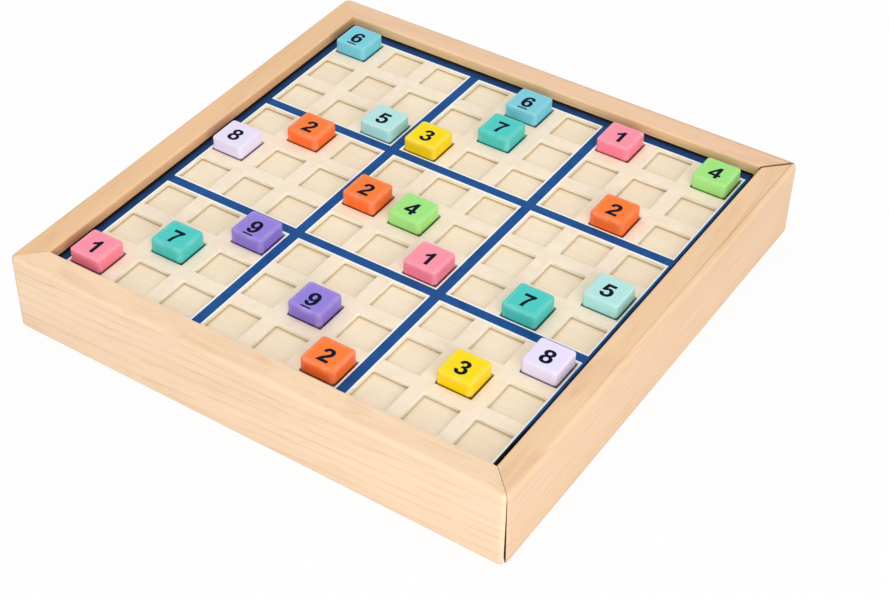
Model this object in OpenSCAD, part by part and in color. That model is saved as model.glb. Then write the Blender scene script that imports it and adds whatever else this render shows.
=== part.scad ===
// Wooden sudoku board: a mitred case with a printed board of nine by nine pockets,
// loose number tiles, and a tray drawer under the board for the tiles not in play.
// Millimetres, +Z up, origin at the centre of the underside. The drawer opens
// towards +X, and the numbers stand with their feet towards -Y.

/* [Case] */
// Thickness of the four rails
rail_t = 11.5; // [9:0.5:16]
// Rounding of the rails' outer top edge
outer_edge_r = 2; // [0.5:0.1:3]
// Rounding of the rails' inner top edge
inner_edge_r = 1; // [0.4:0.1:3]
// Rounding of the case's upright corners
corner_r = 3.2; // [0.5:0.1:5]
// Chamfer along the rails' outer bottom edge
foot_chamfer = 0.9; // [0.2:0.1:1.5]
// Depth of the grooves that hold the bottom panel and the board
groove_d = 4; // [2:0.5:5]
// Height of the bottom panel above the table
panel_raise = 2; // [1:0.5:4]
// Thickness of the bottom panel
panel_t = 3; // [2:0.5:4]

/* [Board] */
// Distance from one cell to the next
cell_pitch = 22; // [19:0.5:28]
// Margin between the outer cells and the rails
board_margin = 2; // [1:0.5:8]
// Thickness of the grid plate, which is the depth of a pocket
grid_t = 2.1; // [1.5:0.1:4]
// Thickness of the plate behind the grid
backing_t = 3; // [2:0.5:5]
// Depth of the board below the rails' top
board_drop = 4.5; // [3:0.1:8]
// Rounding of a pocket's corners
pocket_corner_r = 0.6; // [0.2:0.1:1.2]
// Gap between the drawer front and the ends of the board and the bottom panel
board_gap = 2.6; // [0.5:0.1:4.5]
// How far the cells lie off the case's middle, towards the drawer front
cell_offset_x = 0.6; // [0:0.1:1]
// How far the cells lie off the case's middle, towards the player
cell_offset_y = 1.4; // [0:0.1:2]

/* [Tiles] */
// Width of a number tile
tile_w = 15; // [12:0.5:17]
// Height of a number tile
tile_h = 8; // [5:0.5:10]
// Rounding of the tiles' upright edges
tile_corner_r = 1.5; // [0.3:0.1:2.5]
// Bevel around the tiles' top and bottom
tile_bevel = 0.6; // [0.2:0.1:1.2]
// Play of a tile in its pocket, on each side
tile_play = 0.4; // [0.3:0.05:0.8]
// How far the tiles lie off their pockets' middle, away from the drawer front
tile_lean = 0.2; // [0:0.05:0.25]

/* [Drawer] */
// Height of the tray
tray_h = 19.6; // [16:0.2:26]
// Thickness of the tray's sides and back
tray_wall_t = 5; // [3:0.5:7]
// Thickness of the tray's floor
tray_floor_t = 2.5; // [2:0.5:4]
// Thickness of the dividers
divider_t = 3; // [2:0.5:4]
// Depth of the dividers' top edge below the tray's rim
divider_drop = 4; // [2:0.5:6]
// Depth of the housings in the drawer front that hold the tray's sides
side_housing_d = 3; // [1:0.5:5]
// Depth of the housings that hold the dividers' ends
divider_housing_d = 1.5; // [0.5:0.5:2.5]
// Running clearance beside the tray
tray_play = 0.4; // [0.3:0.1:1]
// Running clearance over the tray
tray_gap = 0.8; // [0.3:0.1:2]
// Clearance behind the closed tray
tray_stop_gap = 1; // [0.5:0.5:4]
// Gap in the drawer front's two mitres
mitre_gap = 0.45; // [0.3:0.05:1]
// Clearance under the drawer front
front_lift = 0.4; // [0.3:0.1:1.5]

/* [Fixings] */
// Length of a corner nail's legs
nail_leg = 6; // [3:0.5:7]
// Thickness of a corner nail
nail_t = 0.7; // [0.4:0.1:1.2]
// Height of a corner nail
nail_h = 9; // [5:0.5:14]
// Distance of a corner nail from the rails' outer faces
nail_inset = 3; // [2:0.5:4]
// Depth to which the corner nails are set in from below
nail_set = 0.6; // [0.2:0.1:1.5]
// Diameter of a brad
brad_d = 1.4; // [1:0.1:2]
// Length of a brad
brad_l = 10; // [7:0.5:14]
// Diameter of a brad's head
brad_head_d = 2.6; // [2.2:0.1:2.9]
// Thickness of a brad's head
brad_head_h = 0.8; // [0.5:0.1:1.2]

/* [Hidden] */
$fn = 48;
// Cells along a side of the board, which is also the count of each number
cells = 9;
// Compartments along a side of the drawer, and tiles along a side of a compartment
bays = 3;
// Overrun of every cut
cut_over = 1;
// Clearance of the panels in their grooves
groove_play = 0.2;
// Clearance between the grid plate and the rails
grid_play = 0.2;
// Clearance round a brad in its hole
brad_play = 0.05;
// Places of the brads along a side and along the back, as shares of its length
brad_shares = [0.12, 0.5, 0.88];

// Numbers on the board, back row first, with 0 for an empty pocket
layout = [
    [6, 0, 0, 0, 6, 0, 1, 0, 4],
    [0, 0, 0, 0, 7, 0, 0, 0, 0],
    [0, 0, 5, 3, 0, 0, 0, 2, 0],
    [0, 2, 0, 0, 0, 0, 0, 0, 0],
    [8, 0, 0, 2, 4, 0, 0, 0, 5],
    [0, 0, 0, 0, 0, 1, 0, 7, 0],
    [0, 0, 9, 0, 0, 0, 0, 0, 8],
    [0, 7, 0, 0, 9, 0, 0, 3, 0],
    [1, 0, 0, 0, 0, 2, 0, 0, 0]
];
// Paint of the numbers 1 to 9
paints = ["pink", "darkorange", "gold", "lightgreen", "paleturquoise",
          "skyblue", "mediumturquoise", "lavender", "mediumpurple"];
wood = "burlywood";
ply = "wheat";
print_ground = "cornsilk";
steel = "silver";

// Case and board
inner_w = cells * cell_pitch + 2 * board_margin;
case_w = inner_w + 2 * rail_t;
tongue = groove_d - groove_play;
tray_z = panel_raise + panel_t;
board_z = tray_z + tray_h + tray_gap;
grid_z = board_z + backing_t;
case_h = grid_z + grid_t + board_drop;
pocket_w = tile_w + 2 * tile_play;
middle_cell = (cells - 1) / 2;

// Drawer
tray_back_x = -inner_w / 2 + tray_stop_gap;
tray_front_x = inner_w / 2;
tray_l = tray_front_x - tray_back_x;
tray_w = inner_w - 2 * tray_play;
wall_z = tray_z + tray_floor_t;
wall_h = tray_h - tray_floor_t;
divider_h = wall_h - divider_drop;
bay_back_x = tray_back_x + tray_wall_t;
clear_l = tray_front_x - bay_back_x;
clear_w = tray_w - 2 * tray_wall_t;
bay_l = (clear_l - (bays - 1) * divider_t) / bays;
bay_w = (clear_w - (bays - 1) * divider_t) / bays;

// Names
tiles = [for (r = [0:cells - 1], c = [0:cells - 1]) if (layout[r][c] > 0) [r, c, layout[r][c]]];
function tile_name(t) = str("tile_r", t[0] + 1, "c", t[1] + 1);
function spare_name(number) = str("spare_tiles_", number);
function spare_count(number) = cells - len([for (t = tiles) if (t[2] == number) t]);

// What a rounded corner at the origin loses, its two edges along +X and +Y
module corner_waste(r) {
    difference() {
        translate([-cut_over, -cut_over]) square(r + cut_over);
        translate([r, r]) circle(r);
    }
}

module rounded_square(w, r) {
    difference() {
        square(w, center = true);
        for (turn = [0:3]) rotate(turn * 90) translate([-w / 2, -w / 2]) corner_waste(r);
    }
}

// A rail across its length: X from the outer face to the inner one, Y upwards
module rail_profile(foot_z, grooved) {
    difference() {
        translate([0, foot_z]) square([rail_t, case_h - foot_z]);
        translate([0, case_h]) mirror([0, 1]) corner_waste(outer_edge_r);
        translate([rail_t, case_h]) rotate(180) corner_waste(inner_edge_r);
        translate([0, foot_z]) rotate(45) square(foot_chamfer * sqrt(2), center = true);
        if (grooved) {
            groove(panel_raise, panel_t);
            groove(board_z, backing_t);
        }
    }
}

module groove(z, t) {
    translate([rail_t - groove_d, z]) square([groove_d + cut_over, t + groove_play]);
}

// The front's quarter of the case's outline, drawn back from its mitres by a gap
module rail_plan(gap) {
    intersection() {
        rounded_square(case_w, corner_r);
        translate([0, -gap * sqrt(2)]) polygon([[0, 0], [-case_w, -case_w], [case_w, -case_w]]);
    }
}

// A mitred rail in the front's place
module rail(foot_z, grooved, gap) {
    intersection() {
        translate([0, -case_w / 2, 0]) rotate([90, 0, 90])
            linear_extrude(case_w, center = true) rail_profile(foot_z, grooved);
        linear_extrude(case_h) rail_plan(gap);
    }
}

module fixed_rail(turn) {
    color(wood) difference() {
        rotate(turn) rail(0, true, 0);
        corner_nail_shapes(cut_over);
    }
}

// The nails' L-shaped legs, in the two mitres on the left
module corner_nail_shapes(below) {
    for (side = [0, 1]) mirror([0, side, 0])
        translate([-case_w / 2 + nail_inset, -case_w / 2 + nail_inset, nail_set - below])
            linear_extrude(nail_h + below) union() {
                square([nail_leg, nail_t]);
                square([nail_t, nail_leg]);
            }
}

module corner_nails() {
    color(steel) corner_nail_shapes(0);
}

// A sheet held in the three fixed rails' grooves, open towards the drawer front
module grooved_sheet(z, t) {
    translate([-inner_w / 2 - tongue, -inner_w / 2 - tongue, z])
        cube([inner_w + tongue - board_gap, inner_w + 2 * tongue, t]);
}

module bottom_panel() {
    color(ply) grooved_sheet(panel_raise, panel_t);
}

module backing_plate() {
    color(ply) grooved_sheet(board_z, backing_t);
}

function cell_place(r, c) =
    [(c - middle_cell) * cell_pitch + cell_offset_x, (middle_cell - r) * cell_pitch - cell_offset_y];

module grid_plate() {
    color(print_ground) translate([0, 0, grid_z]) linear_extrude(grid_t) difference() {
        translate([grid_play - inner_w / 2, grid_play - inner_w / 2])
            square([inner_w - grid_play - board_gap, inner_w - 2 * grid_play]);
        for (r = [0:cells - 1], c = [0:cells - 1])
            translate(cell_place(r, c)) rounded_square(pocket_w, pocket_corner_r);
    }
}

// A tile's outline from one side, run through along X
module tile_side_prism() {
    half_w = tile_w / 2;
    rotate([90, 0, 90]) linear_extrude(tile_w + 2 * cut_over, center = true) polygon([
        [tile_bevel - half_w, 0], [half_w - tile_bevel, 0],
        [half_w, tile_bevel], [half_w, tile_h - tile_bevel],
        [half_w - tile_bevel, tile_h], [tile_bevel - half_w, tile_h],
        [-half_w, tile_h - tile_bevel], [-half_w, tile_bevel]
    ]);
}

module tile_block() {
    intersection() {
        linear_extrude(tile_h) rounded_square(tile_w, tile_corner_r);
        tile_side_prism();
        rotate(90) tile_side_prism();
    }
}

module board_tile(t) {
    color(paints[t[2] - 1])
        translate(concat(cell_place(t[0], t[1]) - [tile_lean, 0], grid_z)) tile_block();
}

// The tiles of one number that aren't on the board, in its own compartment
module spare_tiles(number) {
    bay_x = bay_back_x + bay_l / 2 + floor((number - 1) / bays) * (bay_l + divider_t);
    bay_y = (bay_w - clear_w) / 2 + (number - 1) % bays * (bay_w + divider_t);
    color(paints[number - 1]) for (k = [0:spare_count(number) - 1])
        translate([bay_x + (floor(k / bays) - 1) * bay_l / bays,
                   bay_y + (k % bays - 1) * bay_w / bays, wall_z]) tile_block();
}

module drawer_front() {
    color(wood) difference() {
        rotate(90) rail(front_lift, false, mitre_gap);
        for (side = [-1, 1]) {
            side_board(side);
            long_divider_board(side);
        }
    }
}

module drawer_floor() {
    color(ply) difference() {
        translate([tray_back_x, -tray_w / 2, tray_z]) cube([tray_l, tray_w, tray_floor_t]);
        brads(brad_play);
    }
}

// The tray's two sides, -1 for the near one and 1 for the far one
module side_board(side) {
    translate([tray_back_x, side * (tray_w - tray_wall_t) / 2 - tray_wall_t / 2, wall_z])
        cube([tray_l + side_housing_d, tray_wall_t, wall_h]);
}

module drawer_side(side) {
    color(wood) difference() {
        side_board(side);
        for (place = [-1, 1]) cross_divider_board(place);
        brads(brad_play);
    }
}

module drawer_back() {
    color(wood) difference() {
        translate([tray_back_x, -clear_w / 2, wall_z]) cube([tray_wall_t, clear_w, wall_h]);
        for (side = [-1, 1]) long_divider_board(side);
        brads(brad_play);
    }
}

// Dividers that run with the drawer, -1 for the near one and 1 for the far one
module long_divider_board(side) {
    translate([bay_back_x - divider_housing_d, side * (bay_w + divider_t) / 2 - divider_t / 2, wall_z])
        cube([clear_l + 2 * divider_housing_d, divider_t, divider_h]);
}

// Dividers across the drawer, -1 for the inner one and 1 for the one by the drawer front
module cross_divider_board(place) {
    translate([bay_back_x + clear_l / 2 + place * (bay_l + divider_t) / 2 - divider_t / 2,
               -clear_w / 2 - divider_housing_d, wall_z])
        cube([divider_t, clear_w + 2 * divider_housing_d, divider_h]);
}

// The upper or the lower half of the dividers' height, for their laps
module lap_level(upper) {
    translate([-case_w / 2, -case_w / 2, wall_z + (upper ? divider_h / 2 : -cut_over)])
        cube([case_w, case_w, divider_h / 2 + cut_over]);
}

module long_divider(side) {
    color(ply) difference() {
        long_divider_board(side);
        for (place = [-1, 1]) intersection() {
            cross_divider_board(place);
            lap_level(true);
        }
    }
}

module cross_divider(place) {
    color(ply) difference() {
        cross_divider_board(place);
        for (side = [-1, 1]) intersection() {
            long_divider_board(side);
            lap_level(false);
        }
    }
}

// Brads up through the floor into the sides and the back, wider and longer by their play
module brads(play) {
    for (share = brad_shares) {
        for (side = [-1, 1])
            translate([tray_back_x + share * tray_l, side * (tray_w - tray_wall_t) / 2, tray_z]) brad(play);
        translate([tray_back_x + tray_wall_t / 2, share * clear_w - clear_w / 2, tray_z]) brad(play);
    }
}

module brad(play) {
    cylinder(h = brad_head_h + play, d = brad_head_d + 2 * play);
    cylinder(h = brad_l + play, d = brad_d + 2 * play);
}

module drawer_brads() {
    color(steel) brads(0);
}

fixed_rail(0);  // front_rail
fixed_rail(-90);  // left_rail
fixed_rail(180);  // back_rail
corner_nails();
bottom_panel();
backing_plate();
grid_plate();
drawer_front();
drawer_floor();
drawer_side(-1);  // drawer_side_near
drawer_side(1);  // drawer_side_far
drawer_back();
long_divider(-1);  // long_divider_near
long_divider(1);  // long_divider_far
cross_divider(-1);  // cross_divider_inner
cross_divider(1);  // cross_divider_outer
drawer_brads();
for (t = tiles) board_tile(t);
for (number = [1:cells]) spare_tiles(number);
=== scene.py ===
"""The looks of a wooden sudoku board: mitred case, printed board, painted number tiles and tray drawer.
Metres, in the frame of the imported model: +Z up, the drawer opens towards +X, and the digits stand with
their feet towards -Y.
"""
import math

import bmesh
import bpy
from mathutils import Matrix, Vector


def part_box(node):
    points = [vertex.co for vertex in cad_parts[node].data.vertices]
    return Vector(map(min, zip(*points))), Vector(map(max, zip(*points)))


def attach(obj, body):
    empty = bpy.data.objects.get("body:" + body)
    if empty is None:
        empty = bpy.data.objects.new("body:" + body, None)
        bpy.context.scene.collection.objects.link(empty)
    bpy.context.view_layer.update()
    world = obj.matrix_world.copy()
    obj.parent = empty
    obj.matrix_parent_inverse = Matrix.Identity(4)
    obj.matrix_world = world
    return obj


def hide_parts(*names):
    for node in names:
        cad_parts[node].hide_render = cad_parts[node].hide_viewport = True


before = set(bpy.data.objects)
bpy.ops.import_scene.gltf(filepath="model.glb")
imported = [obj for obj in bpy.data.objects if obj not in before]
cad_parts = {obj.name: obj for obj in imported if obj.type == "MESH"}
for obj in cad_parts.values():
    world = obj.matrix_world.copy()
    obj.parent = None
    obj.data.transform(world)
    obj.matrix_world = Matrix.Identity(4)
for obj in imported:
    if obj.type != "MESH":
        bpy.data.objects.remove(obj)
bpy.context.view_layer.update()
MM = 0.001

# Sizes that the frame gives
rail_low, rail_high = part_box("front_rail")
CASE_HALF = -rail_low.y
CASE_H = rail_high.z
INNER_HALF = -rail_high.y
FRONT_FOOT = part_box("drawer_front")[0].z
plate_low, plate_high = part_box("grid_plate")
backing_low, backing_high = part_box("backing_plate")
panel_low, panel_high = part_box("bottom_panel")
nail_low, nail_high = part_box("corner_nails")
middle_tile_low, middle_tile_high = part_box("tile_r5c5")
TILE_W = middle_tile_high.x - middle_tile_low.x
TILE_H = middle_tile_high.z - middle_tile_low.z

# Each tile lies a little to the left in its pocket, so the grid's middle is off the middle tile's
TILE_LEAN = 0.2 * MM
GRID_MID = Vector(((middle_tile_low.x + middle_tile_high.x) / 2 + TILE_LEAN,
                   (middle_tile_low.y + middle_tile_high.y) / 2, 0))

# Case
OUTER_EDGE_R = 2.0 * MM
INNER_EDGE_R = 1.0 * MM
CORNER_R = 3.2 * MM
FOOT_R = 1.6 * MM
GROOVE_D = 4.0 * MM
GROOVE_PLAY = 0.2 * MM
NAIL_T = 0.7 * MM
EASED_EDGE = 0.14 * MM
CUT_OVER = 1.0 * MM

# Mitre gaps, each at its top and at its foot
TIGHT_MITRE = (0.0, 0.0)
NEAR_MITRE = (0.12 * MM, 0.9 * MM)
FAR_MITRE = (0.55 * MM, 0.55 * MM)

# Printed board
CELLS = 9
CELL_PITCH = 22.0 * MM
POCKET_HALF = 7.9 * MM
POCKET_CORNER_R = 0.6 * MM
POCKET_RIM_R = 0.3 * MM
POCKET_FOOT = 0.4 * MM
BLOCK_PITCH = 3 * CELL_PITCH
BLOCK_HALF = 30.9 * MM
KEYLINE_W = 0.65 * MM
# Painted shadow of the rails on the board's blue border: how far it reaches in from the left and back
# edges, and its wedge along the right edge, widest at the front corner
RAIL_SHADOW_REACH = 5.5 * MM
SHADOW_WEDGE_W = 2.0 * MM
SHADOW_WEDGE_END = -66.0 * MM
SHADOW_WEDGE_FADE = 0.7 * MM

# Tiles
TILE_CORNER_R = 1.5 * MM
TILE_EDGE_R = 0.8 * MM
TILE_FACE_INSET = 2.4 * MM
# A tile's foot is darkened up to just above the board's top: painted shade standing in for the shadow in
# the gap around it in its pocket
FOOT_SHADE_LOW = 2.05 * MM
FOOT_SHADE_HIGH = 2.5 * MM
FOOT_SHADE = 0.88
DIGIT_H = 7.3 * MM
DIGIT_DROP = 0.9 * MM
INK_T = 0.03 * MM
INK_SPREAD = 0.1 * MM
UNDERLINE_W = 4.7 * MM
UNDERLINE_T = 0.75 * MM
UNDERLINE_DROP = 0.95 * MM

# The numbers on the board, row by row from the back, with 0 for an empty pocket
LAYOUT = ["600060104", "000070000", "005300020", "020000000", "800240005",
          "000001070", "009000008", "070090030", "100002000"]

# Drawer
BAYS = 3
BOARD_EDGE = 0.3 * MM

# Angles, and limits for picking faces and edges
QUARTER = math.pi / 2
SMOOTH_ANGLE = math.radians(40)
HARD_ANGLE = 1.0
LEVEL_FACE = 0.99
UPRIGHT_FACE = 0.1
SQUARE_FACE = 0.71
DIAGONAL_FACE = 0.05
TOUCH = 2e-6


# Modelling by hand

def deselect_all():
    bpy.ops.object.select_all(action="DESELECT")


def make_active(piece):
    deselect_all()
    piece.select_set(True)
    bpy.context.view_layer.objects.active = piece


def edit(piece):
    make_active(piece)
    bpy.ops.object.mode_set(mode="EDIT")


def leave_edit():
    bpy.ops.object.mode_set(mode="OBJECT")


def block(name, low, high):
    """A cube between two corners, with its place in its mesh."""
    low, high = Vector(low), Vector(high)
    deselect_all()
    bpy.ops.mesh.primitive_cube_add(size=1, location=(low + high) / 2)
    piece = bpy.context.object
    piece.name = name
    piece.scale = high - low
    bpy.ops.object.transform_apply(location=True, rotation=True, scale=True)
    return piece


def near(a, b):
    return abs(a - b) < TOUCH


def pick(piece, kind, wanted):
    """Selects the verts, edges or faces that a test picks out."""
    bpy.ops.mesh.select_mode(type={"verts": "VERT", "edges": "EDGE", "faces": "FACE"}[kind])
    bpy.ops.mesh.select_all(action="DESELECT")
    for item in getattr(bmesh.from_edit_mesh(piece.data), kind):
        if wanted(item):
            item.select_set(True)
    bmesh.update_edit_mesh(piece.data)


def slice_all(point, normal, **clear):
    """Cuts the whole mesh along a plane, and drops one side of it if asked to."""
    bpy.ops.mesh.select_all(action="SELECT")
    bpy.ops.mesh.bisect(plane_co=point, plane_no=normal, use_fill=bool(clear),
                        threshold=TOUCH / 4, **clear)


def apply_modifier(piece, kind, **settings):
    make_active(piece)
    modifier = piece.modifiers.new(kind.lower(), kind)
    for key, value in settings.items():
        setattr(modifier, key, value)
    bpy.ops.object.modifier_apply(modifier=modifier.name)


def cut(piece, low, high):
    """Takes a box out of a piece."""
    cutter = block("cutter", low, high)
    apply_modifier(piece, "BOOLEAN", operation="DIFFERENCE", solver="EXACT", object=cutter)
    bpy.data.objects.remove(cutter)


def ease(piece, width, segments=3):
    """Softens the hard edges and shades the piece smoothly, its broad faces flat."""
    apply_modifier(piece, "BEVEL", width=width, segments=segments, limit_method="ANGLE",
                   angle_limit=SMOOTH_ANGLE, harden_normals=False)
    smooth(piece)


def smooth(piece):
    make_active(piece)
    bpy.ops.object.shade_smooth_by_angle(angle=SMOOTH_ANGLE)
    apply_modifier(piece, "WEIGHTED_NORMAL", keep_sharp=True, weight=100)


def dress(piece, *finishes):
    piece.data.materials.clear()
    for finish in finishes:
        piece.data.materials.append(finish)


def settle(piece, body, slot, *nodes):
    """Says what the finished piece rides on and stands for; the slot, meant to say what it takes its
    finish from, is not used.
    """
    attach(piece, body)
    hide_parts(*nodes)


# Materials

def seen(red, green, blue):
    """A colour as it is seen, from 0 to 255, in the linear values that shaders take."""
    shares = [value / 255 for value in (red, green, blue)]
    return [s / 12.92 if s <= 0.04045 else ((s + 0.055) / 1.055) ** 2.4 for s in shares] + [1.0]


SHADER_SOCKETS = {
    "specular": "Specular IOR Level",
    "coat": "Coat Weight",
    "coat_roughness": "Coat Roughness",
    "roughness": "Roughness",
    "metallic": "Metallic",
}


class Finish:
    """A procedural material in the making."""

    def __init__(self, name, **sockets):
        self.material = bpy.data.materials.new(name)
        self.material.use_nodes = True
        self.nodes = self.material.node_tree.nodes
        self.shader = self.nodes["Principled BSDF"]
        for socket, value in sockets.items():
            self.shader.inputs[SHADER_SOCKETS[socket]].default_value = value

    def feed(self, socket, value):
        if isinstance(value, bpy.types.NodeSocket):
            self.material.node_tree.links.new(value, socket)
        else:
            socket.default_value = value

    def add(self, kind, inputs, output=0, **settings):
        node = self.nodes.new("ShaderNode" + kind)
        for key, value in settings.items():
            setattr(node, key, value)
        for socket, value in inputs.items():
            self.feed(node.inputs[socket], value)
        return node.outputs[output]

    def place(self, origin=(0, 0, 0), turn=(0, 0, 0)):
        """The piece's own coordinates, seen from an origin and along turned axes."""
        place = self.add("TexCoord", {}, "Object")
        return self.add("Mapping", {"Vector": place, "Location": origin, "Rotation": turn},
                        vector_type="TEXTURE")

    def noise(self, place, size, detail=3.0, output="Fac"):
        """Soft noise whose specks are about as long, wide and high as the given size."""
        specks = self.add("VectorMath", {0: place, 1: size}, operation="DIVIDE")
        settings = {"Vector": specks, "Scale": 1.0, "Detail": detail, "Roughness": 0.55}
        return self.add("TexNoise", settings, output)

    def times(self, first, second):
        return self.add("Math", {0: first, 1: second}, operation="MULTIPLY")

    def sum(self, first, second, share):
        """First plus a share of second."""
        return self.add("Math", {0: second, 1: share, 2: first}, operation="MULTIPLY_ADD")

    def span(self, value, low, high, start=0.0, end=1.0):
        """Spreads a value that runs from start to end over low to high."""
        return self.add("MapRange", {"Value": value, "From Min": start, "From Max": end,
                                     "To Min": low, "To Max": high})

    def ramp(self, value, stops, interpolation="EASE"):
        made = self.add("ValToRGB", {"Fac": value})
        ramp = made.node.color_ramp
        ramp.interpolation = interpolation
        while len(ramp.elements) < len(stops):
            ramp.elements.new(0.5)
        for element, (position, colour) in zip(ramp.elements, stops):
            element.position = position
            element.color = colour
        return made

    def mix(self, share, first, second, blend="MIX"):
        return self.add("Mix", {0: share, 6: first, 7: second}, 2, data_type="RGBA", blend_type=blend)

    def bump(self, height, depth, strength):
        normal = self.add("Bump", {"Height": height, "Distance": depth, "Strength": strength})
        self.feed(self.shader.inputs["Normal"], normal)

    def colour(self, value):
        self.feed(self.shader.inputs["Base Color"], value)

    def roughness(self, value):
        self.feed(self.shader.inputs["Roughness"], value)


def grey(level):
    return (level, level, level, 1.0)


def cube(size):
    return (size, size, size)


def along_grain(length, width):
    return (length, width, width)


BLACK = grey(0.0)
WHITE = grey(1.0)
DARK_WOOD = seen(206, 160, 118)
GRAIN_DRIFT = 9 * MM

# How long and how wide the wood's marks are
DRIFT_SIZE = along_grain(120 * MM, 40 * MM)
BAND_SIZE = along_grain(35 * MM, 3 * MM)
STREAK_SIZE = along_grain(24 * MM, 0.7 * MM)
PORE_SIZE = along_grain(5 * MM, 0.28 * MM)
PATCH_SIZE = along_grain(80 * MM, 18 * MM)


def places_in_log(wood, heart, tilt, turn):
    """Places measured from the heart of a log that doesn't grow quite straight."""
    log = wood.place(heart, (0, tilt, turn))
    drift = wood.noise(log, DRIFT_SIZE, 2.0, "Color")
    return wood.add("VectorMath", {0: drift, 1: (0, GRAIN_DRIFT, GRAIN_DRIFT), 2: log},
                    operation="MULTIPLY_ADD")


def late_wood(wood, log, ring_gap):
    """1 in the dark part of each year's ring, broken up along the grain."""
    rings = wood.add("TexWave", {"Vector": log, "Scale": 0.1 * math.pi / ring_gap, "Distortion": 0.0},
                     "Fac", wave_type="RINGS", rings_direction="X", wave_profile="SAW")
    late = wood.ramp(rings, [(0.0, BLACK), (0.45, grey(0.1)), (0.88, WHITE), (1.0, BLACK)])
    return wood.times(late, wood.span(wood.noise(log, BAND_SIZE), 0.1, 1.0, 0.35, 0.65))


def case_wood(name, turn, heart, tilt, ring_gap, ring_depth, top, side, inward=(0, 0, 0), inner=WHITE):
    """Pale satin wood. The grain runs along the piece, through a log whose heart lies off to one side.
    Its top, its sides and a face that looks inward each have their own colour, set for how light falls on
    them: painted light and shade. Upward rounded edges come out paler, a painted highlight, and downward
    faces darker, painted shade.
    """
    wood = Finish(name, specular=0.3, coat=0.08, coat_roughness=0.4)
    log = places_in_log(wood, heart, tilt, turn)
    late = late_wood(wood, log, ring_gap)
    streaks = wood.noise(log, STREAK_SIZE)
    dashes = wood.span(streaks, 0.0, 1.0, 0.54, 0.72)
    pores = wood.span(wood.noise(log, PORE_SIZE, 2.0), 0.0, 1.0, 0.60, 0.74)
    patches = wood.span(wood.noise(log, PATCH_SIZE), 0.0, 1.0, 0.40, 0.66)
    tone = wood.sum(wood.sum(wood.times(patches, 0.16), late, ring_depth), dashes, 0.26)
    tone = wood.sum(tone, pores, 0.12)
    normal = wood.add("NewGeometry", {}, "Normal")
    up = wood.add("SeparateXYZ", {"Vector": normal}, "Z")
    # Painted highlight and shade: upward rounded edges come out paler and downward faces darker
    rounded = wood.times(up, wood.add("Math", {0: 1.0, 1: up}, operation="SUBTRACT"))
    tone = wood.sum(tone, rounded, -0.5)
    # Top, side and inward faces take their own colours by direction: painted light and shade
    facing_in = wood.add("VectorMath", {0: normal, 1: inward}, "Value", operation="DOT_PRODUCT")
    walls = wood.mix(facing_in, side, inner)
    wood.colour(wood.mix(tone, wood.mix(up, walls, top), DARK_WOOD))
    wood.roughness(wood.span(streaks, 0.42, 0.58, 0.3, 0.7))
    wood.bump(wood.sum(wood.sum(streaks, pores, -0.6), late, -0.3), 0.04 * MM, 0.4)
    return wood.material


def end_grain():
    """The darker, speckled ends of the rails, which show in the open mitres."""
    ends = Finish("end_grain", specular=0.1)
    specks = ends.noise(ends.place(), cube(0.5 * MM))
    rings = ends.noise(ends.place(), (9 * MM, 9 * MM, 1.5 * MM))
    ends.colour(ends.mix(ends.span(ends.sum(rings, specks, 0.6), 0.0, 1.0, 0.6, 1.0),
                         seen(190, 144, 102), seen(158, 114, 76)))
    ends.roughness(ends.span(specks, 0.7, 0.85, 0.3, 0.7))
    ends.bump(specks, 0.05 * MM, 0.4)
    return ends.material


def seam_share(ink):
    """Painted shadow of the rails: 1 along the plate's left and back edges, fading out over the border,
    and in a narrow wedge along its right edge, widest at the front corner.
    """
    x = ink.add("SeparateXYZ", {"Vector": ink.place()}, "X")
    y = ink.add("SeparateXYZ", {"Vector": ink.place()}, "Y")
    left = ink.span(x, 1.0, 0.0, plate_low.x, plate_low.x + RAIL_SHADOW_REACH)
    back = ink.span(y, 0.0, 1.0, plate_high.y - RAIL_SHADOW_REACH, plate_high.y)
    nearest = ink.add("Math", {0: left, 1: back}, operation="MAXIMUM")
    fade = [(0.0, BLACK), (0.1, grey(0.3)), (0.55, grey(0.5)), (0.82, WHITE)]
    shade = ink.ramp(nearest, fade, "LINEAR")
    wedge = ink.span(y, SHADOW_WEDGE_W, 0.0, plate_low.y, SHADOW_WEDGE_END)
    right = ink.span(ink.sum(x, wedge, 1.0), 0.0, 1.0, plate_high.x, plate_high.x + SHADOW_WEDGE_FADE)
    return ink.add("Math", {0: shade, 1: right}, operation="MAXIMUM")


def board_print(name, base, shade, gloss, rail_shadow=None):
    """Matte print on a fine-grained board: faint mottling, a fine tooth and, if asked for, the rails'
    painted shadow along its edges.
    """
    ink = Finish(name, specular=0.08)
    mottle = ink.noise(ink.place(), cube(6 * MM), 4.0)
    tooth = ink.noise(ink.place(), cube(0.4 * MM), 2.0)
    colour = ink.mix(ink.span(ink.sum(mottle, tooth, 0.4), 0.0, 1.0, 0.45, 0.95), base, shade)
    # Where asked for, the rails' painted shadow darkens the print towards the plate's edges
    ink.colour(ink.mix(seam_share(ink), colour, rail_shadow) if rail_shadow else colour)
    ink.roughness(ink.span(tooth, gloss, gloss + 0.14, 0.3, 0.7))
    ink.bump(tooth, 0.02 * MM, 0.3)
    return ink.material


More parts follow.
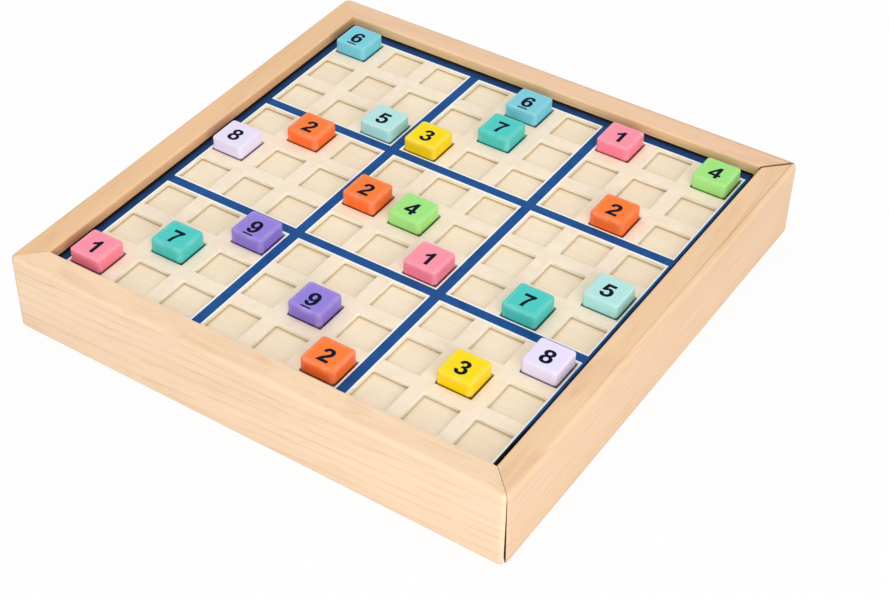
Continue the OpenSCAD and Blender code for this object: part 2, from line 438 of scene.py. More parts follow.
def cut_edge(name, base, foot, low_z):
    """The pale wall of a cut-out, with a fine dark line along its foot: painted shade where the wall
    meets the floor.
    """
    wall = Finish(name, specular=0.2)
    height = wall.add("SeparateXYZ", {"Vector": wall.place((0, 0, low_z))}, "Z")
    layers = wall.noise(wall.place(), (5 * MM, 5 * MM, 0.25 * MM))
    pale = wall.mix(wall.span(layers, 0.0, 0.35, 0.4, 0.7), base, foot)
    # Painted shade: a fine dark line along the wall's foot
    line = wall.span(height, 1.0, 0.0, 0.35 * MM, 0.95 * MM)
    wall.colour(wall.mix(line, pale, foot))
    wall.roughness(wall.span(layers, 0.6, 0.75, 0.3, 0.7))
    wall.bump(layers, 0.03 * MM, 0.3)
    return wall.material


def thin_ply(name, base, shade):
    """A thin veneer face with open, low-contrast grain."""
    ply = Finish(name, specular=0.2)
    streaks = ply.noise(ply.place(), along_grain(55 * MM, 1.6 * MM), 4.0)
    patches = ply.noise(ply.place(), cube(20 * MM))
    ply.colour(ply.mix(ply.span(ply.sum(patches, streaks, 0.7), 0.0, 1.0, 0.6, 1.15), base, shade))
    ply.roughness(ply.span(streaks, 0.55, 0.72, 0.3, 0.7))
    ply.bump(streaks, 0.04 * MM, 0.35)
    return ply.material


def layered_ply(name, axis, low, thickness, turn, base, core):
    """Three-ply board: its layers are stacked along an axis and show on the sawn edges."""
    ply = Finish(name, specular=0.2)
    layer = ply.add("SeparateXYZ", {"Vector": ply.place()}, axis)
    layer = ply.span(layer, 0.0, 1.0, low, low + thickness)
    plies = ply.ramp(layer, [(0.0, BLACK), (0.30, BLACK), (0.36, WHITE), (0.64, WHITE), (0.70, BLACK)])
    streaks = ply.noise(ply.place(turn=(0, 0, turn)), along_grain(50 * MM, 1.4 * MM), 4.0)
    face = ply.mix(ply.span(streaks, 0.0, 1.0, 0.35, 0.75), base, core)
    ply.colour(ply.mix(ply.span(plies, 0.0, 0.8), face, core))
    ply.roughness(ply.span(streaks, 0.55, 0.75, 0.3, 0.7))
    ply.bump(streaks, 0.05 * MM, 0.4)
    return ply.material


# Paler colour for the tiles' rounded edges: thin paint from wear and a painted highlight
PALE_EDGE_WEAR_AND_HIGHLIGHT = (1.0, 0.97, 0.93, 1.0)


def tile_paint(name, top, side):
    """Satin paint on a hardwood block. Top and sides have their own colours, set for how light falls on
    them: painted light and shade. The foot is darkened: painted shade of the gap around the tile in its
    pocket. The rounded edges are paler: thin paint from wear, and a painted highlight.
    """
    paint = Finish(name, specular=0.15)
    up = paint.add("SeparateXYZ", {"Vector": paint.add("NewGeometry", {}, "Normal")}, "Z")
    # Top and sides take their own colours by direction: painted light and shade
    body = paint.mix(paint.span(up, 0.0, 1.0, 0.15, 0.85), side, top)
    cloud = paint.noise(paint.place(), cube(4 * MM))
    grain = paint.noise(paint.place(), along_grain(5 * MM, 0.4 * MM))
    body = paint.mix(paint.span(paint.sum(cloud, grain, 0.35), 0.0, 0.30, 0.5, 1.0), body, side)
    # Painted shade: the foot darkens towards black
    foot = paint.add("Attribute", {}, "Fac", attribute_name="foot")
    body = paint.mix(paint.times(foot, FOOT_SHADE), body, paint.mix(FOOT_SHADE, side, BLACK))
    # Rounded edges turn paler: partly wear, partly a painted highlight
    edge = paint.add("Attribute", {}, "Fac", attribute_name="edge")
    wear_and_highlight = paint.times(edge, paint.span(cloud, 0.03, 0.12, 0.4, 0.7))
    paint.colour(paint.mix(wear_and_highlight, body, PALE_EDGE_WEAR_AND_HIGHLIGHT))
    paint.roughness(paint.span(grain, 0.36, 0.52, 0.3, 0.7))
    paint.bump(paint.sum(grain, cloud, 0.5), 0.03 * MM, 0.3)
    return paint.material


def number_ink():
    """Dark stamped ink, a little thin in places."""
    ink = Finish("number_ink", specular=0.05)
    thin = ink.noise(ink.place(), cube(1.1 * MM))
    ink.colour(ink.mix(ink.span(thin, 0.0, 1.0, 0.45, 0.85), seen(4, 10, 38), seen(16, 24, 58)))
    ink.roughness(ink.span(thin, 0.45, 0.6, 0.3, 0.7))
    return ink.material


def bright_steel():
    steel = Finish("bright_steel", metallic=1.0)
    drawn = steel.noise(steel.place(), (3 * MM, 3 * MM, 0.25 * MM))
    steel.colour(steel.mix(steel.span(drawn, 0.0, 1.0, 0.3, 0.7),
                           seen(178, 180, 184), seen(214, 214, 212)))
    steel.roughness(steel.span(drawn, 0.24, 0.42, 0.3, 0.7))
    steel.bump(drawn, 0.01 * MM, 0.3)
    return steel.material


PALE_TRAY = seen(242, 207, 170)
# The rails' colours differ from rail to rail and between top, sides and inward faces, partly as
# board-to-board difference and partly as painted light and shade
FRONT_WOOD = case_wood(
    "case_wood_front", turn=0.0, heart=(0, -0.1, -0.06), tilt=-0.07, ring_gap=4.2 * MM, ring_depth=0.24,
    top=seen(248, 216, 179), side=seen(244, 215, 183))
BACK_WOOD = case_wood(
    "case_wood_back", turn=0.0, heart=(0.3, 0.12, -0.05), tilt=0.03, ring_gap=4 * MM, ring_depth=0.24,
    top=seen(239, 200, 165), side=seen(242, 207, 171), inward=(0, -1, 0), inner=seen(251, 214, 161))
LEFT_WOOD = case_wood(
    "case_wood_left", turn=QUARTER, heart=(-0.12, 0.1, -0.05), tilt=0.03, ring_gap=4 * MM,
    ring_depth=0.24, top=seen(237, 195, 150), side=seen(240, 203, 165), inward=(1, 0, 0),
    inner=seen(237, 185, 139))
DRAWER_WOOD = case_wood(
    "case_wood_drawer", turn=QUARTER, heart=(0.1, 0.3, -0.08), tilt=0.012, ring_gap=3.4 * MM,
    ring_depth=0.36, top=seen(240, 203, 162), side=seen(232, 197, 161))
TRAY_WOOD_X = case_wood(
    "tray_wood_long", turn=0.0, heart=(0.2, 0.1, -0.05), tilt=0.03, ring_gap=3.5 * MM, ring_depth=0.24,
    top=PALE_TRAY, side=PALE_TRAY)
TRAY_WOOD_Y = case_wood(
    "tray_wood_cross", turn=QUARTER, heart=(0.1, 0.2, -0.05), tilt=0.03, ring_gap=3.5 * MM,
    ring_depth=0.24, top=PALE_TRAY, side=PALE_TRAY)
END_GRAIN = end_grain()
CREAM_PRINT = board_print("cream_print", seen(251, 236, 215), seen(243, 224, 199), 0.55)
WHITE_PRINT = board_print("white_keyline", seen(251, 253, 255), seen(244, 246, 249), 0.55)
# The blue print carries the rails' painted shadow, near-black right at the plate's edges
BLUE_PRINT = board_print("blue_print", seen(33, 87, 152), seen(23, 70, 128), 0.5, seen(3, 5, 14))
# The core's walls carry a painted shade line along their feet
BOARD_CORE = cut_edge("board_core", seen(246, 242, 223), seen(195, 170, 131), plate_low.z)
POCKET_FLOOR = thin_ply("pocket_floor_ply", seen(248, 233, 208), seen(241, 221, 192))
PANEL_PLY = thin_ply("bottom_panel_ply", seen(240, 214, 178), seen(218, 184, 142))
STEEL = bright_steel()
INK = number_ink()
# Top and side colour for each number; the side colours are set for how light falls on them, so they carry
# painted light and shade
PAINT_SHADES = {
    1: ((250, 148, 168), (247, 130, 151)),
    2: ((248, 125, 48), (249, 112, 45)),
    3: ((248, 221, 0), (248, 210, 0)),
    4: ((159, 229, 126), (163, 229, 129)),
    5: ((181, 227, 223), (171, 228, 226)),
    6: ((124, 204, 220), (113, 202, 220)),
    7: ((73, 203, 194), (72, 195, 187)),
    8: ((233, 223, 249), (231, 224, 251)),
    9: ((148, 128, 218), (139, 116, 208)),
}
PAINTS = {number: tile_paint(f"tile_paint_{number}", seen(*top), seen(*side))
          for number, (top, side) in PAINT_SHADES.items()}


# Case

def round_along(rail, z, way, radius, segments):
    """Rounds the rail's outer (-1) or inner (1) edges at a height."""
    def looks_that_way(face):
        return abs(face.normal.z) < UPRIGHT_FACE and way * face.normal.y > SQUARE_FACE

    pick(rail, "edges", lambda edge: all(near(v.co.z, z) for v in edge.verts)
         and any(looks_that_way(face) for face in edge.link_faces))
    bpy.ops.mesh.bevel(offset=radius, segments=segments, affect="EDGES")


def trim_mitre(side, top_gap, foot_gap):
    """Cuts one end to 45 degrees, drawn back from the corner's diagonal by a gap that may taper."""
    kept = Vector((-side, -1, 0)).normalized()
    lean = Vector((0, 0, (top_gap - foot_gap) / CASE_H))
    slice_all(Vector((side * CASE_HALF, -CASE_HALF, 0)) + foot_gap * kept, kept - lean, clear_inner=True)


def trim_corner(side, steps=6):
    """Rounds the upright corner at one end, from the rail's face to its mitre."""
    centre = Vector((side * (CASE_HALF - CORNER_R), CORNER_R - CASE_HALF, 0))
    turn = side * math.pi / 4 / steps
    for step in range(steps):
        start = -QUARTER + step * turn
        point = centre + CORNER_R * Vector((math.cos(start), math.sin(start), 0))
        middle = start + turn / 2
        slice_all(point, (math.cos(middle), math.sin(middle), 0), clear_outer=True)


def mitred_rail(name, foot_z, left_gaps, right_gaps):
    """A rail in the front's place."""
    rail = block(name, (-CASE_HALF, -CASE_HALF, foot_z), (CASE_HALF, -INNER_HALF, CASE_H))
    edit(rail)
    for side, gaps in ((-1, left_gaps), (1, right_gaps)):
        trim_corner(side)
        trim_mitre(side, *gaps)
    round_along(rail, CASE_H, -1, OUTER_EDGE_R, 6)
    round_along(rail, CASE_H, 1, INNER_EDGE_R, 5)
    round_along(rail, foot_z, -1, FOOT_R, 5)
    leave_edit()
    return rail


def turn_about_z(piece, angle):
    make_active(piece)
    piece.rotation_euler.z = angle
    bpy.ops.object.transform_apply(location=True, rotation=True, scale=True)


def groove(rail, low_z, high_z):
    """A groove along the rail's inner face that holds a sheet."""
    cut(rail, (-CASE_HALF - CUT_OVER, -INNER_HALF - GROOVE_D, low_z),
        (CASE_HALF + CUT_OVER, -INNER_HALF + CUT_OVER, high_z + GROOVE_PLAY))


def nail_slots(rail):
    """Slots from below for the corner nails' legs, in the two mitres on the left."""
    for mirror in (1, -1):
        inner = mirror * nail_high.y
        tip = mirror * (nail_high.y - (nail_high.x - nail_low.x))
        skin = mirror * (nail_high.y - NAIL_T)
        cut(rail, (nail_low.x, min(inner, skin), -CUT_OVER),
            (nail_high.x, max(inner, skin), nail_high.z))
        cut(rail, (nail_low.x, min(inner, tip), -CUT_OVER),
            (nail_low.x + NAIL_T, max(inner, tip), nail_high.z))


def dress_rail(rail, wood):
    """Lays wood on a rail and end grain on its two mitres."""
    dress(rail, wood, END_GRAIN)
    for face in rail.data.polygons:
        diagonal = abs(abs(face.normal.x) - abs(face.normal.y)) < DIAGONAL_FACE
        if diagonal and abs(face.normal.z) < UPRIGHT_FACE:
            face.material_index = 1


def fixed_rail(node, turn, wood, left_gaps=TIGHT_MITRE):
    rail = mitred_rail(node + "_wood", 0.0, left_gaps, TIGHT_MITRE)
    groove(rail, panel_low.z, panel_high.z)
    groove(rail, backing_low.z, backing_high.z)
    turn_about_z(rail, turn)
    nail_slots(rail)
    ease(rail, EASED_EDGE)
    dress_rail(rail, wood)
    settle(rail, "case", "case_wood", node)


def drawer_front():
    """The fourth rail, with housings behind for the tray's sides and dividers."""
    front = mitred_rail("drawer_front_wood", FRONT_FOOT, NEAR_MITRE, FAR_MITRE)
    turn_about_z(front, QUARTER)
    for node in ("drawer_side_near", "drawer_side_far", "long_divider_near", "long_divider_far"):
        low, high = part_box(node)
        cut(front, (INNER_HALF - CUT_OVER, low.y, low.z), high)
    ease(front, EASED_EDGE)
    dress_rail(front, DRAWER_WOOD)
    settle(front, "drawer", "case_wood", "drawer_front")


# Printed board

# The board's finishes, in the order that it wears them
CREAM, KEYLINE, BLUE, CORE = range(4)


def print_lines():
    reaches = [side * reach for side in (-1, 1) for reach in (BLOCK_HALF, BLOCK_HALF - KEYLINE_W)]
    return [place * BLOCK_PITCH + reach for place in (-1, 0, 1) for reach in reaches]


def pocket_profile():
    """The pocket wall's distance from the middle, and its height, from undercut foot to rounded rim."""
    low, high = plate_low.z, plate_high.z
    profile = [(POCKET_HALF + POCKET_FOOT, low), (POCKET_HALF, low + POCKET_FOOT),
               (POCKET_HALF, high - POCKET_RIM_R)]
    for angle in (math.radians(30), math.radians(60), math.radians(90)):
        profile.append((POCKET_HALF + POCKET_RIM_R * (1 - math.cos(angle)),
                        high - POCKET_RIM_R * (1 - math.sin(angle))))
    return profile


def bridge_to_square(cell, z):
    """Joins the pocket's open loop at a height to the square of the grid around it."""
    bpy.ops.mesh.primitive_plane_add(size=CELL_PITCH, location=(0, 0, z))
    bpy.ops.mesh.delete(type="ONLY_FACE")
    pick(cell, "edges", lambda edge: (edge.is_boundary or edge.is_wire)
         and all(near(v.co.z, z) for v in edge.verts))
    bpy.ops.mesh.bridge_edge_loops()


def pocket_cell():
    """One square of the board with its pocket, on the origin."""
    profile = pocket_profile()
    reach, z = profile[0]
    deselect_all()
    bpy.ops.mesh.primitive_plane_add(size=2 * reach, location=(0, 0, z))
    bpy.ops.object.transform_apply(location=True, rotation=True, scale=True)
    cell = bpy.context.object
    edit(cell)
    bpy.ops.mesh.select_all(action="SELECT")
    bpy.ops.mesh.bevel(offset=POCKET_CORNER_R, segments=4, affect="VERTICES")
    bpy.ops.mesh.select_mode(type="FACE")
    bpy.ops.mesh.select_all(action="SELECT")
    for next_reach, next_z in profile[1:]:
        bpy.ops.mesh.extrude_region_move(TRANSFORM_OT_translate={"value": (0, 0, next_z - z)})
        share = next_reach / reach
        bpy.ops.transform.resize(value=(share, share, 1), center_override=(0, 0, 0))
        reach, z = next_reach, next_z
    pick(cell, "faces", lambda face: abs(face.normal.z) > LEVEL_FACE)
    bpy.ops.mesh.delete(type="ONLY_FACE")
    bridge_to_square(cell, plate_high.z)
    bridge_to_square(cell, plate_low.z)
    leave_edit()
    return cell


def widen(board, axis, old, new):
    """Draws one straight edge of the board's top and underside out to the plate's own edge."""
    pick(board, "edges", lambda edge: edge.is_boundary
         and all(near(v.co[axis], old) for v in edge.verts))
    move = Vector((0, 0, 0))
    move[axis] = new - old
    bpy.ops.mesh.extrude_region_move(TRANSFORM_OT_translate={"value": move})


def from_nearest(place, pitch, count):
    """Distance of a place from the nearest of a row of centres."""
    return abs(place - round(max(-(count // 2), min(count // 2, place / pitch))) * pitch)


def printed_face(x, y):
    """The print at a place: cream ground, white keyline or blue line."""
    inside = BLOCK_HALF - max(from_nearest(x, BLOCK_PITCH, BAYS), from_nearest(y, BLOCK_PITCH, BAYS))
    if inside < 0:
        return BLUE
    return KEYLINE if inside < KEYLINE_W else CREAM


def sheet_of_squares():
    """All the squares as one sheet, open around its edge."""
    cell = pocket_cell()
    middle = (CELLS - 1) / 2
    places = [GRID_MID + CELL_PITCH * Vector((column - middle, row - middle, 0))
              for row in range(CELLS) for column in range(CELLS)]
    squares = [copy_to(cell, "square", place) for place in places]
    bpy.data.objects.remove(cell)
    board = squares[0]
    join(board, squares[1:])
    board.name = "printed_grid"
    edit(board)
    bpy.ops.mesh.select_all(action="SELECT")
    bpy.ops.mesh.remove_doubles(threshold=TOUCH)
    leave_edit()
    return board


def lay_print(board):
    """Gives each face of the board in hand its print, or the bare core."""
    for face in bmesh.from_edit_mesh(board.data).faces:
        centre = face.calc_center_median()
        printed = face.normal.z > LEVEL_FACE or near(centre.x, plate_high.x)
        face.material_index = printed_face(*(centre - GRID_MID).xy) if printed else CORE


def printed_board():
    board = sheet_of_squares()
    dress(board, CREAM_PRINT, WHITE_PRINT, BLUE_PRINT, BOARD_CORE)
    grid_half = CELLS / 2 * CELL_PITCH
    edit(board)
    widen(board, 0, GRID_MID.x - grid_half, plate_low.x)
    widen(board, 1, GRID_MID.y - grid_half, plate_low.y)
    widen(board, 1, GRID_MID.y + grid_half, plate_high.y)
    pick(board, "edges", lambda edge: edge.is_boundary)
    bpy.ops.mesh.bridge_edge_loops()
    slice_all(plate_high, (1, 0, 0), clear_outer=True)
    for line in print_lines():
        slice_all((GRID_MID.x + line, 0, 0), (1, 0, 0))
        slice_all((0, GRID_MID.y + line, 0), (0, 1, 0))
    bpy.ops.mesh.select_all(action="SELECT")
    bpy.ops.mesh.normals_make_consistent(inside=False)
    lay_print(board)
    leave_edit()
    smooth(board)
    settle(board, "case", "printed_board", "grid_plate")


# Tiles

# Outlines as shares of the digit's height: at each point the outline bends or turns sharply
BEND, TURN = "AUTO", "VECTOR"
DIGIT_OUTLINES = {
    1: [
        [(0.44, 0.00, TURN), (0.25, 0.00, TURN), (0.25, 0.71, TURN), (0.13, 0.63, BEND),
         (0.00, 0.585, TURN), (0.00, 0.745, TURN), (0.17, 0.84, BEND), (0.285, 1.00, TURN),
         (0.44, 1.00, TURN)],
    ],
    2: [
        [(0.00, 0.00, TURN), (0.67, 0.00, TURN), (0.67, 0.17, TURN), (0.29, 0.17, TURN),
         (0.37, 0.27, BEND), (0.60, 0.50, BEND), (0.67, 0.715, BEND), (0.59, 0.92, BEND),
         (0.36, 1.00, BEND), (0.13, 0.925, BEND), (0.025, 0.70, TURN), (0.21, 0.68, TURN),
         (0.255, 0.80, BEND), (0.345, 0.84, BEND), (0.44, 0.80, BEND), (0.475, 0.71, BEND),
         (0.43, 0.585, BEND), (0.16, 0.295, BEND)],
    ],
    3: [
        [(0.00, 0.27, TURN), (0.185, 0.295, TURN), (0.235, 0.185, BEND), (0.33, 0.15, BEND),
         (0.435, 0.19, BEND), (0.475, 0.30, BEND), (0.435, 0.41, BEND), (0.335, 0.45, BEND),
         (0.25, 0.435, TURN), (0.27, 0.59, TURN), (0.39, 0.63, BEND), (0.43, 0.73, BEND),
         (0.40, 0.815, BEND), (0.325, 0.845, BEND), (0.24, 0.81, BEND), (0.20, 0.715, TURN),
         (0.025, 0.745, TURN), (0.12, 0.935, BEND), (0.335, 1.00, BEND), (0.545, 0.925, BEND),
         (0.62, 0.745, BEND), (0.575, 0.62, BEND), (0.485, 0.535, TURN), (0.62, 0.455, BEND),
         (0.67, 0.305, BEND), (0.575, 0.085, BEND), (0.33, -0.01, BEND), (0.10, 0.07, BEND)],
    ],
    4: [
        [(0.40, 0.00, TURN), (0.585, 0.00, TURN), (0.585, 0.20, TURN), (0.70, 0.20, TURN),
         (0.70, 0.36, TURN), (0.585, 0.36, TURN), (0.585, 1.00, TURN), (0.425, 1.00, TURN),
         (0.00, 0.365, TURN), (0.00, 0.20, TURN), (0.40, 0.20, TURN)],
        [(0.40, 0.36, TURN), (0.40, 0.70, TURN), (0.175, 0.36, TURN)],
    ],
    5: [
        [(0.00, 0.26, TURN), (0.185, 0.28, TURN), (0.235, 0.19, BEND), (0.33, 0.15, BEND),
         (0.44, 0.20, BEND), (0.485, 0.335, BEND), (0.44, 0.47, BEND), (0.325, 0.515, BEND),
         (0.175, 0.435, TURN), (0.02, 0.46, TURN), (0.115, 0.985, TURN), (0.62, 0.985, TURN),
         (0.62, 0.81, TURN), (0.26, 0.81, TURN), (0.23, 0.635, TURN), (0.37, 0.67, BEND),
         (0.59, 0.575, BEND), (0.68, 0.345, BEND), (0.60, 0.11, BEND), (0.335, -0.01, BEND),
         (0.10, 0.06, BEND)],
    ],
    6: [
        [(0.65, 0.735, TURN), (0.465, 0.715, TURN), (0.43, 0.81, BEND), (0.355, 0.845, BEND),
         (0.245, 0.78, BEND), (0.20, 0.565, TURN), (0.385, 0.65, BEND), (0.58, 0.56, BEND),
         (0.665, 0.325, BEND), (0.575, 0.08, BEND), (0.35, -0.01, BEND), (0.095, 0.11, BEND),
         (0.00, 0.475, BEND), (0.105, 0.88, BEND), (0.365, 1.00, BEND), (0.555, 0.93, BEND)],
        [(0.345, 0.505, BEND), (0.475, 0.32, BEND), (0.35, 0.14, BEND), (0.215, 0.335, BEND)],
    ],
    7: [
        [(0.00, 0.985, TURN), (0.66, 0.985, TURN), (0.66, 0.845, TURN), (0.49, 0.62, BEND),
         (0.385, 0.34, BEND), (0.345, 0.00, TURN), (0.155, 0.00, TURN), (0.225, 0.36, BEND),
         (0.43, 0.81, TURN), (0.00, 0.81, TURN)],
    ],
    8: [
        [(0.335, 1.00, BEND), (0.555, 0.93, BEND), (0.64, 0.745, BEND), (0.60, 0.625, BEND),
         (0.51, 0.545, TURN), (0.63, 0.44, BEND), (0.67, 0.285, BEND), (0.58, 0.075, BEND),
         (0.335, -0.01, BEND), (0.09, 0.075, BEND), (0.00, 0.285, BEND), (0.04, 0.44, BEND),
         (0.16, 0.545, TURN), (0.07, 0.625, BEND), (0.03, 0.745, BEND), (0.115, 0.93, BEND)],
        [(0.335, 0.855, BEND), (0.455, 0.735, BEND), (0.335, 0.615, BEND), (0.215, 0.735, BEND)],
        [(0.335, 0.455, BEND), (0.48, 0.30, BEND), (0.335, 0.145, BEND), (0.19, 0.30, BEND)],
    ],
}
# The 9 is the 6 turned half round
SIX_SPAN = (0.665, 0.99)
DIGIT_OUTLINES[9] = [[(SIX_SPAN[0] - x, SIX_SPAN[1] - y, turn) for x, y, turn in outline]
                     for outline in DIGIT_OUTLINES[6]]


def digit_curve(number):
    """The number's outline as a flat filled curve."""
    curve = bpy.data.curves.new(f"digit_{number}", "CURVE")
    curve.dimensions = "2D"
    curve.fill_mode = "BOTH"
    curve.resolution_u = 6
    curve.bevel_depth = INK_SPREAD
    curve.bevel_resolution = 0
    points = [point for outline in DIGIT_OUTLINES[number] for point in outline]
    middle_x = (min(p[0] for p in points) + max(p[0] for p in points)) / 2
    for outline in DIGIT_OUTLINES[number]:
        spline = curve.splines.new("BEZIER")
        spline.bezier_points.add(len(outline) - 1)
        spline.use_cyclic_u = True
        for point, (x, y, handles) in zip(spline.bezier_points, outline):
            point.co = ((x - middle_x) * DIGIT_H, (y - 0.5) * DIGIT_H - DIGIT_DROP, 0)
            point.handle_left_type = handles
            point.handle_right_type = handles
    return curve


def digit(number):
    """The number as a thin film of ink in the middle of a tile's top."""
    curve = digit_curve(number)
    film = bpy.data.objects.new(curve.name, curve)
    bpy.context.scene.collection.objects.link(film)
    make_active(film)
    bpy.ops.object.convert(target="MESH")
    film = bpy.context.object
    film.scale.z = INK_T / INK_SPREAD
    film.location.z = TILE_H - INK_T
    bpy.ops.object.transform_apply(location=True, rotation=True, scale=True)
    edit(film)
    bpy.ops.mesh.select_all(action="SELECT")
    bpy.ops.mesh.remove_doubles(threshold=TOUCH)
    bpy.ops.mesh.normals_make_consistent(inside=False)
    leave_edit()
    return film


def underline():
    top = -DIGIT_H / 2 - DIGIT_DROP - UNDERLINE_DROP
    bar = block("underline", (-UNDERLINE_W / 2, top - UNDERLINE_T, TILE_H - 2 * INK_T),
                (UNDERLINE_W / 2, top, TILE_H))
    edit(bar)
    pick(bar, "edges", lambda edge: near(edge.verts[0].co.x, edge.verts[1].co.x)
         and near(edge.verts[0].co.y, edge.verts[1].co.y))
    bpy.ops.mesh.bevel(offset=UNDERLINE_T / 4, segments=3, affect="EDGES")
    leave_edit()
    return bar


def lies_level(edge):
    return near(edge.verts[0].co.z, edge.verts[1].co.z)


def edge_share(place):
    """1 on a tile's rounded edges and 0 in the middle of its faces."""
    gaps = sorted((TILE_W / 2 - abs(place.x), TILE_W / 2 - abs(place.y),
                   min(place.z, TILE_H - place.z)))
    return 1.0 if gaps[1] < TILE_CORNER_R + TOUCH else 0.0


def tile_blank(name):
    """A wooden block with rounded edges, on the origin."""
    blank = block(name, (-TILE_W / 2, -TILE_W / 2, 0), (TILE_W / 2, TILE_W / 2, TILE_H - INK_T))
    edit(blank)
    pick(blank, "edges", lambda edge: edge.calc_face_angle() > HARD_ANGLE and not lies_level(edge))
    bpy.ops.mesh.bevel(offset=TILE_CORNER_R, segments=5, affect="EDGES")
    pick(blank, "edges", lambda edge: edge.calc_face_angle() > HARD_ANGLE and lies_level(edge))
    bpy.ops.mesh.bevel(offset=TILE_EDGE_R, segments=5, affect="EDGES")
    for side in (-1, 1):
        slice_all((side * (TILE_W / 2 - TILE_FACE_INSET), 0, 0), (1, 0, 0))
        slice_all((0, side * (TILE_W / 2 - TILE_FACE_INSET), 0), (0, 1, 0))
    for height in (FOOT_SHADE_LOW, FOOT_SHADE_HIGH, TILE_H - TILE_FACE_INSET):
        slice_all((0, 0, height), (0, 0, 1))
    leave_edit()
    smooth(blank)
    edge = blank.data.attributes.new("edge", "FLOAT", "POINT")
    # The foot share marks where the painted shade of the pocket's gap goes
    foot = blank.data.attributes.new("foot", "FLOAT", "POINT")
    for vertex in blank.data.vertices:
        edge.data[vertex.index].value = edge_share(vertex.co)
        foot.data[vertex.index].value = 1.0 if vertex.co.z < FOOT_SHADE_LOW + TOUCH else 0.0
    return blank


def number_tile(number):
    """A painted tile with its number, on the origin. 6 and 9 are underlined to tell them apart."""
    tile = tile_blank(f"number_{number}")
    dress(tile, PAINTS[number])
    marks = [digit(number)] + ([underline()] if number in (6, 9) else [])
    for mark in marks:
        dress(mark, INK)
    join(tile, marks)
    return tile


def join(piece, others):
    make_active(piece)
    for other in others:
        other.select_set(True)
    bpy.ops.object.join()


def copy_to(piece, name, place):
    """A copy with its own mesh, set down at a place."""
    mesh = piece.data.copy()
    mesh.transform(Matrix.Translation(place))
    copy = bpy.data.objects.new(name, mesh)
    bpy.context.scene.collection.objects.link(copy)
    return copy


def foot_of(low, high):
    return Vector(((low.x + high.x) / 2, (low.y + high.y) / 2, low.z))


def board_tiles(number, tile):
    for row, numbers in enumerate(LAYOUT, 1):
        for column, shown in enumerate(numbers, 1):
            if int(shown) == number:
                node = f"tile_r{row}c{column}"
                copy = copy_to(tile, node + "_painted", foot_of(*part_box(node)))
                settle(copy, node, f"tile_paint_{number}", node)


def spare_tiles(number, tile):
    """The tiles of one number that lie in their compartment, three to a row."""
    node = f"spare_tiles_{number}"
    count = CELLS - sum(row.count(str(number)) for row in LAYOUT)
    low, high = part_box(node)
    step_y = (high.y - low.y - TILE_W) / (BAYS - 1)
    step_x = (high.x - low.x - TILE_W) / ((count - 1) // BAYS)
    first = low + Vector((TILE_W / 2, TILE_W / 2, 0))
    copies = [copy_to(tile, f"{node}_{k}", first + Vector((k // BAYS * step_x, k % BAYS * step_y, 0)))
              for k in range(count)]
    join(copies[0], copies[1:])
    copies[0].name = node + "_painted"
    settle(copies[0], "drawer", f"tile_paint_{number}", node)


# Drawer

def tray_board(node, wood, slot, housed=()):
    """A board of the tray in its node's box, less what the given nodes take out of it."""
    board = block(node + "_board", *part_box(node))
    for other in housed:
        cut(board, *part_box(other))
    ease(board, BOARD_EDGE)
    dress(board, wood)
    settle(board, "drawer", slot, node)


def divider(node, axis, crossing, upper):
    """A divider lapped half its height into the ones that cross it."""
    low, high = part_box(node)
    board = block(node + "_board", low, high)
    half = (low.z + high.z) / 2
    for other in crossing:
        notch_low, notch_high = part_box(other)
        notch_low.z, notch_high.z = (half, high.z + CUT_OVER) if upper else (low.z - CUT_OVER, half)
        cut(board, notch_low, notch_high)
    ease(board, BOARD_EDGE)
    across = 1 - axis
    thickness = high[across] - low[across]
    dress(board, layered_ply(node + "_ply", across, low[across], thickness, axis * QUARTER,
                             seen(238, 212, 176), seen(206, 168, 124)))
    settle(board, "drawer", "plywood", node)


def drawer_tray():
    cross = ("cross_divider_inner", "cross_divider_outer")
    along = ("long_divider_near", "long_divider_far")
    for node in ("drawer_side_near", "drawer_side_far"):
        tray_board(node, TRAY_WOOD_X, "tray_wood", cross)
    tray_board("drawer_back", TRAY_WOOD_Y, "tray_wood", along)
    for node in along:
        divider(node, 0, cross, True)
    for node in cross:
        divider(node, 1, along, False)
    low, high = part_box("drawer_floor")
    dress(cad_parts["drawer_floor"],
          layered_ply("drawer_floor_ply", 2, low.z, high.z - low.z, 0.0,
                      seen(240, 214, 180), seen(208, 170, 128)))


def dress_kept_nodes():
    dress(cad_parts["bottom_panel"], PANEL_PLY)
    dress(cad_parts["backing_plate"], POCKET_FLOOR)
    for node in ("corner_nails", "drawer_brads"):
        dress(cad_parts[node], STEEL)


# Stage, light and camera

FLOOR_W = 8.0
FLOOR_DROP = 0.05 * MM
FLOOR_GLOW = 0.93
WORLD_LEVEL = 0.70
PHOTO_LENS = 75.05
PHOTO_SHIFT = (0.0748, 0.0122)
CAMERA_PLACE = Vector((0.3182, -0.4811, 0.4871))
CAMERA_AIM = Vector((0.00037, -0.02638, 0.0))
CAMERA_ROLL = math.radians(-0.47)


def background_share(tree, level):
    """How far a ray sees the plain white background: only as it comes from the camera or a reflection."""
    light = tree.nodes.new("ShaderNodeLightPath")
    total = light.outputs["Is Camera Ray"]
    for ray in ("Is Glossy Ray", "Is Transmission Ray"):
        either = tree.nodes.new("ShaderNodeMath")
        either.operation = "MAXIMUM"
        tree.links.new(total, either.inputs[0])
        tree.links.new(light.outputs[ray], either.inputs[1])
        total = either.outputs[0]
    share = tree.nodes.new("ShaderNodeMath")
    share.operation = "MULTIPLY"
    share.inputs[1].default_value = level
    tree.links.new(total, share.inputs[0])
    return share.outputs[0]


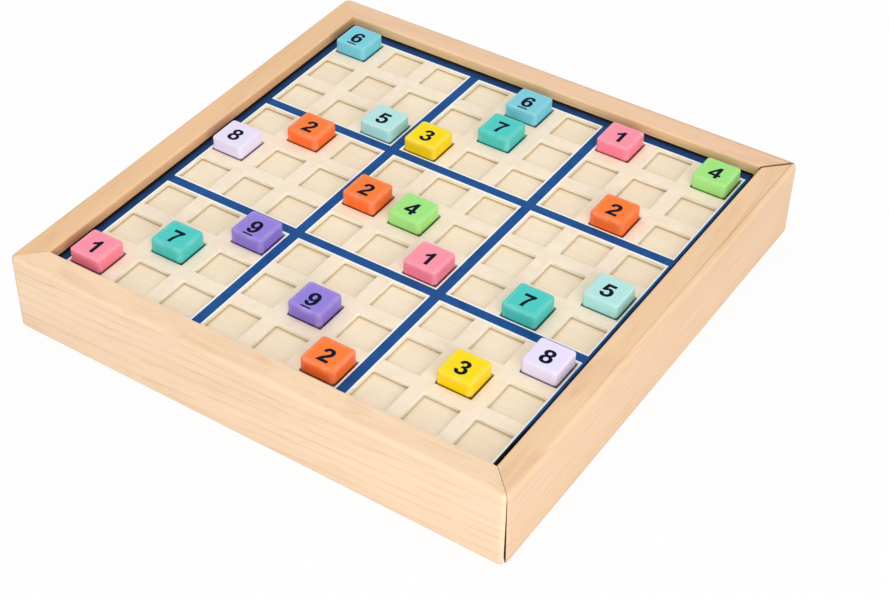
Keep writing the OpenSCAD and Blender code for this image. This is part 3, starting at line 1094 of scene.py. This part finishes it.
def white_floor():
    deselect_all()
    bpy.ops.mesh.primitive_plane_add(size=FLOOR_W, location=(0, 0, -FLOOR_DROP))
    floor = bpy.context.object
    floor.name = "floor"
    paper = Finish("white_floor", roughness=1.0, specular=0.0)
    paper.colour(grey(0.9))
    tree = paper.material.node_tree
    glow = tree.nodes.new("ShaderNodeEmission")
    both = tree.nodes.new("ShaderNodeMixShader")
    tree.links.new(background_share(tree, FLOOR_GLOW), both.inputs[0])
    tree.links.new(paper.shader.outputs[0], both.inputs[1])
    tree.links.new(glow.outputs[0], both.inputs[2])
    tree.links.new(both.outputs[0], tree.nodes["Material Output"].inputs["Surface"])
    dress(floor, paper.material)


def white_world():
    world = bpy.data.worlds.new("white_world")
    world.use_nodes = True
    tree = world.node_tree
    lit = tree.nodes["Background"]
    lit.inputs["Color"].default_value = WHITE
    lit.inputs["Strength"].default_value = WORLD_LEVEL
    plain = tree.nodes.new("ShaderNodeBackground")
    plain.inputs["Color"].default_value = WHITE
    both = tree.nodes.new("ShaderNodeMixShader")
    tree.links.new(background_share(tree, 1.0), both.inputs[0])
    tree.links.new(lit.outputs[0], both.inputs[1])
    tree.links.new(plain.outputs[0], both.inputs[2])
    tree.links.new(both.outputs[0], tree.nodes["World Output"].inputs["Surface"])
    bpy.context.scene.world = world


def soft_light(name, place, aim, size, power):
    lamp = bpy.data.lights.new(name, "AREA")
    lamp.shape = "SQUARE"
    lamp.size = size
    lamp.energy = power
    light = bpy.data.objects.new(name, lamp)
    light.location = place
    light.rotation_euler = (Vector(aim) - Vector(place)).to_track_quat("-Z", "Y").to_euler()
    bpy.context.scene.collection.objects.link(light)


def photo_camera():
    lens = bpy.data.cameras.new("photo_camera")
    lens.sensor_fit = "HORIZONTAL"
    lens.lens = PHOTO_LENS
    lens.shift_x, lens.shift_y = PHOTO_SHIFT
    camera = bpy.data.objects.new("photo_camera", lens)
    camera.location = CAMERA_PLACE
    aimed = (CAMERA_AIM - CAMERA_PLACE).to_track_quat("-Z", "Y").to_matrix()
    camera.rotation_euler = (aimed @ Matrix.Rotation(CAMERA_ROLL, 3, "Z")).to_euler()
    bpy.context.scene.collection.objects.link(camera)
    bpy.context.scene.camera = camera


fixed_rail("front_rail", 0.0, FRONT_WOOD)
fixed_rail("left_rail", -QUARTER, LEFT_WOOD)
fixed_rail("back_rail", 2 * QUARTER, BACK_WOOD, FAR_MITRE)
drawer_front()
printed_board()
for number in range(1, CELLS + 1):
    tile = number_tile(number)
    board_tiles(number, tile)
    spare_tiles(number, tile)
    bpy.data.objects.remove(tile)
drawer_tray()
dress_kept_nodes()
white_floor()
white_world()
soft_light("key", place=(-0.4, 0.35, 1.3), aim=(0, 0, 0), size=0.5, power=3.2)
soft_light("fill", place=(1.08, -0.93, 0.55), aim=(0, 0, 0), size=1.0, power=12.0)
photo_camera()
bpy.context.scene.view_settings.view_transform = "Standard"
